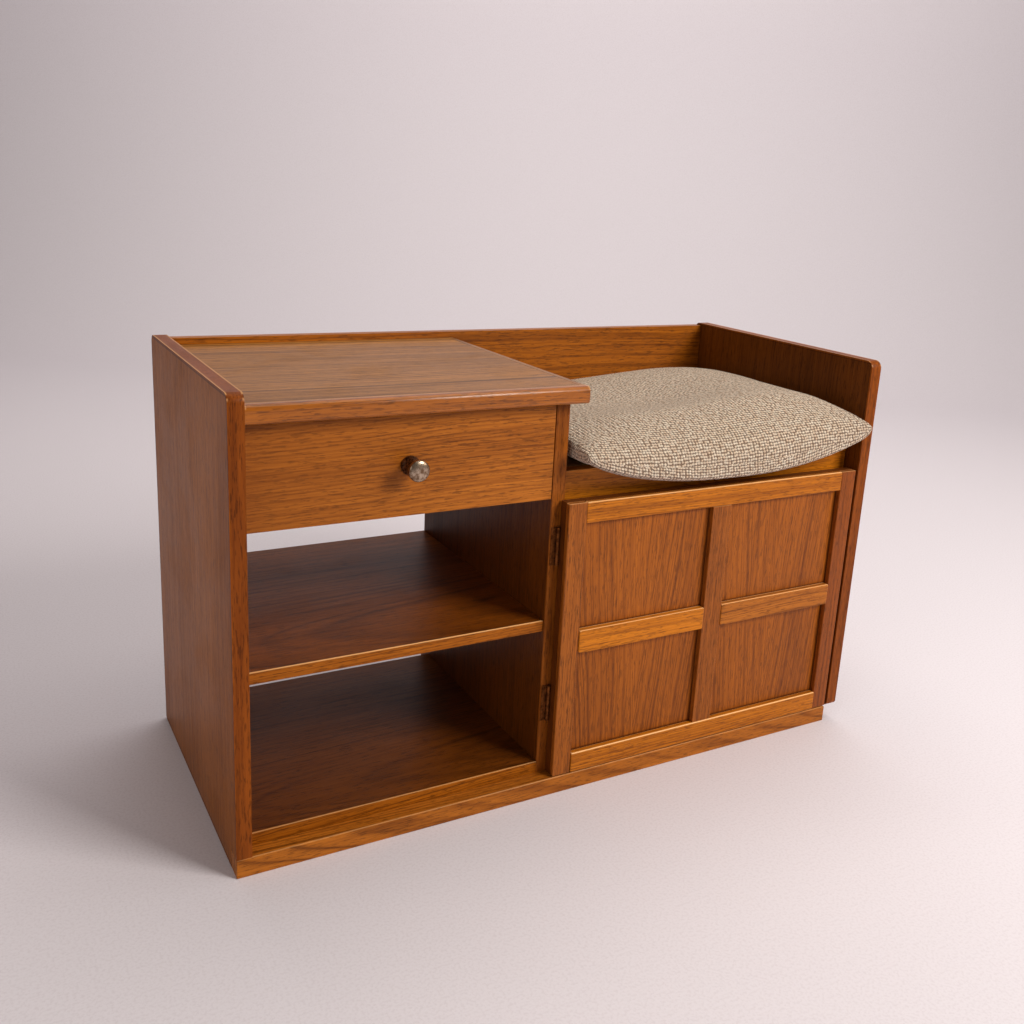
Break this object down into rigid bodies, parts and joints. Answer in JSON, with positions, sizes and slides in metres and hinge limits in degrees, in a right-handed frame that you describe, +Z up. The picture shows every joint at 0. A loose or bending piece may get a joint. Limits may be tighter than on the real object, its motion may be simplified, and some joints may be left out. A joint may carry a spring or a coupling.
{
  "type": "entryway bench",
  "caption": "Low teak hall bench: drawer and open shelves beside a loose-cushioned seat over a cupboard with a lattice door.",
  "frame": {"origin": "middle of the bench's bounding box at floor level, cushion included", "axes": "+X to the sitter's left, along the bench from the shelves to the seat as seen from the front; +Y towards the wall behind; +Z up"},
  "size_m": [0.92, 0.427, 0.56],
  "materials": {
    "teak": "oiled, satin",
    "teak_panel": "oiled veneer, satin",
    "teak_top": "faded oiled veneer, satin",
    "beech": "bare, matt",
    "plywood": "bare plywood, matt",
    "hinge_brass": "dulled",
    "knob_metal": "aged nickel, hammered",
    "steel": "zinc plated",
    "catch_plastic": "moulded",
    "tweed": "chunky woven tweed"
  },
  "bodies": {
    "carcass": {"left_side_panel": "teak_panel", "right_side_panel": "teak_panel", "divider_panel": "teak_panel", "tabletop_board": "teak_top", "tabletop_nosing": "teak", "tabletop_end_lip": "teak", "mid_shelf": "teak", "shelf_pegs": "beech", "left_bottom_board": "teak", "cupboard_bottom_board": "teak", "plinth_front_board": "teak", "plinth_rear_board": "teak", "plinth_right_return": "teak", "plinth_glue_blocks": "beech", "back_rail": "teak", "cupboard_back_panel": "plywood", "seat_board": "plywood", "seat_front_rail": "teak", "seat_left_batten": "beech", "seat_right_batten": "beech", "seat_rear_batten": "beech", "left_drawer_runner": "beech", "right_drawer_runner": "beech", "drawer_stop_blocks": "beech", "upper_hinge_fixed_leaf": "hinge_brass", "lower_hinge_fixed_leaf": "hinge_brass", "upper_hinge_pin": "hinge_brass", "lower_hinge_pin": "hinge_brass", "fixed_leaf_screws": "hinge_brass", "magnetic_catch": "catch_plastic"},
    "drawer": {"drawer_front": "teak", "drawer_left_side": "beech", "drawer_right_side": "beech", "drawer_back": "beech", "drawer_bottom": "plywood", "drawer_knob": "knob_metal", "knob_rosette": "knob_metal", "knob_screw": "steel"},
    "door": {"door_panel": "teak_panel", "door_left_stile": "teak", "door_centre_stile": "teak", "door_right_stile": "teak", "door_top_rail": "teak", "door_bottom_rail": "teak", "door_left_mid_rail": "teak", "door_right_mid_rail": "teak", "upper_hinge_moving_leaf": "hinge_brass", "lower_hinge_moving_leaf": "hinge_brass", "moving_leaf_screws": "hinge_brass", "catch_strike_plate": "steel"},
    "cushion": {"seat_cushion": "tweed"}
  },
  "joints": [
    {"name": "drawer_slide", "type": "slide", "parent": "carcass", "child": "drawer", "axis": [0, -1, 0], "range_m": [0, 0.27]},
    {"name": "door_hinge", "type": "hinge", "parent": "carcass", "child": "door", "pos_m": [-0.0508, -0.1735, 0.2135], "axis": [0, 0, -1], "range_deg": [0, 100]},
    {"name": "seat_cushion_slide", "type": "slide", "parent": "carcass", "child": "cushion", "axis": [0, -1, 0], "range_m": [0, 0.43]}
  ]
}
